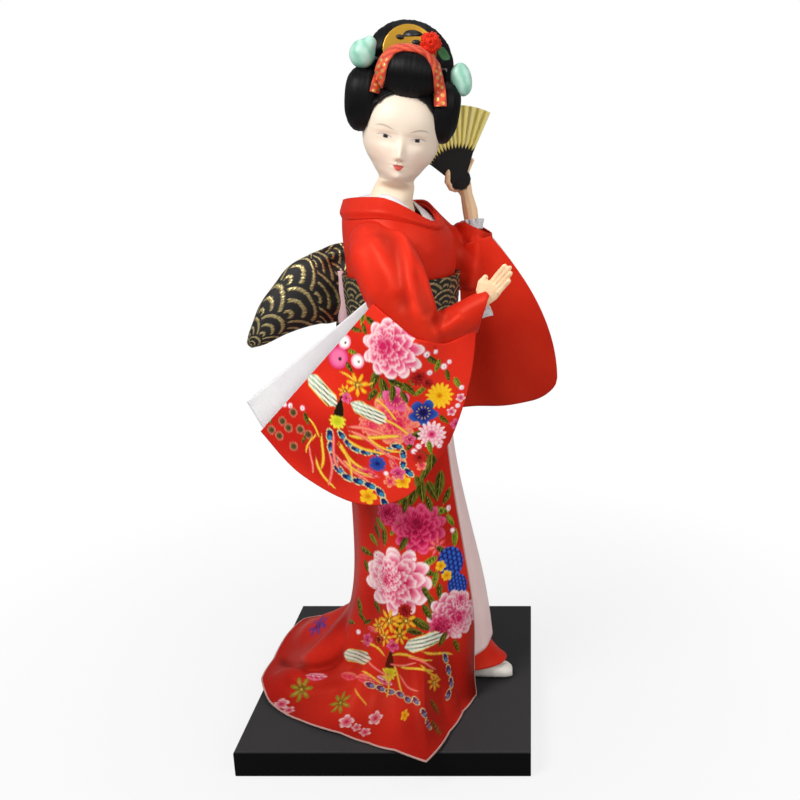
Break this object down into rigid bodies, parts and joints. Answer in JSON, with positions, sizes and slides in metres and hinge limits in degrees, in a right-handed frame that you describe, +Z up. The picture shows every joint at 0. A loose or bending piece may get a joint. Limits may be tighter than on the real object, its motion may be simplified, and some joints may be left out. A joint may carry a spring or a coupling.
{
  "type": "geisha doll",
  "caption": "Standing display doll in a trailing printed kimono with hanging sleeves, sash bow, dressed hair and an open fan, wired to a square lacquered stand.",
  "frame": {"origin": "centre of the stand's underside", "axes": "+Z up, +X the way the doll's skirt front and toes point, +Y away from the side the doll's face looks to"},
  "size_m": [0.1339, 0.1294, 0.2977],
  "materials": {
    "lacquer": "black gloss lacquer over wood",
    "steel": "bare wire",
    "face": "moulded, cream, satin",
    "flesh": "moulded, satin",
    "padding": "cotton wadding on wire, wrapped",
    "tabi": "white cotton",
    "hair": "black nylon fibre, combed and set",
    "gilt": "gilt plastic",
    "rivet_brass": "polished",
    "satin": "plain red satin",
    "ribbon": "red ribbon with gold dots",
    "print": "red satin printed with flowers and feathers",
    "brocade": "black and gold wave brocade",
    "pink": "pale pink lining silk",
    "rose": "pink crepe",
    "white": "white lining silk",
    "jade": "mint green, polished",
    "leaf": "stiffened green cloth",
    "paper": "gold paper, pleated",
    "ebony": "black"
  },
  "bodies": {
    "doll_body": {"base_plinth": "lacquer", "leg_wire_right": "steel", "leg_right": "padding", "foot_right": "tabi", "leg_wire_left": "steel", "leg_left": "padding", "foot_left": "tabi", "body_core": "padding", "neck_peg": "steel", "bodice": "satin", "kimono_collar": "satin", "under_collar": "white", "kimono_skirt": "print", "under_robe": "pink", "under_skirt": "satin", "obi": "brocade", "bow_knot": "brocade", "bow_wing_right": "brocade", "bow_wing_left": "brocade", "bow_scarf_right": "rose", "bow_scarf_left": "rose", "bow_tail": "brocade"},
    "head": {"head": "face", "hair_cap": "hair", "hair_wing_right": "hair", "hair_wing_left": "hair", "hair_front_roll": "hair", "hair_topknot": "hair", "hair_nape": "hair", "hair_ribbon": "ribbon", "hair_comb": "gilt", "hair_flower": "satin", "hair_flower_leaf": "leaf"},
    "hairpin_right": {"hairpin_shaft_right": "steel", "hairpin_bead_right": "jade"},
    "hairpin_left": {"hairpin_shaft_left": "steel", "hairpin_bead_left": "jade"},
    "arm_right": {"arm_core_right": "padding", "hand_right": "flesh", "cuff_right": "white", "sleeve_right": "satin", "sleeve_drop_right": "print", "sleeve_lining_right": "white"},
    "arm_left": {"arm_core_left": "padding", "hand_left": "flesh", "cuff_left": "white", "sleeve_left": "satin", "sleeve_drop_left": "satin", "sleeve_lining_left": "white", "fan_leaf": "paper", "fan_frame": "ebony", "fan_rivet": "rivet_brass"}
  },
  "joints": [
    {"name": "head_turn", "type": "hinge", "parent": "doll_body", "child": "head", "pos_m": [0.0048, -0.001, 0.225], "axis": [0.1564, 0, 0.9877], "range_deg": [-15, 15]},
    {"name": "right_arm_lift", "type": "hinge", "parent": "doll_body", "child": "arm_right", "pos_m": [-0.00103, -0.01722, 0.215], "axis": [-0.9063, 0.4226, 0], "range_deg": [0, 20]},
    {"name": "left_arm_swing", "type": "hinge", "parent": "doll_body", "child": "arm_left", "pos_m": [0.01503, 0.01722, 0.215], "axis": [-0.2297, -0.3215, 0.9186], "range_deg": [0, 20]},
    {"name": "hairpin_right_pull", "type": "slide", "parent": "head", "child": "hairpin_right", "axis": [-0.7994, -0.5775, 0.1657], "range_m": [0, 0.012]},
    {"name": "hairpin_left_pull", "type": "slide", "parent": "head", "child": "hairpin_left", "axis": [0.9386, -0.3303, -0.0998], "range_m": [0, 0.012]}
  ]
}
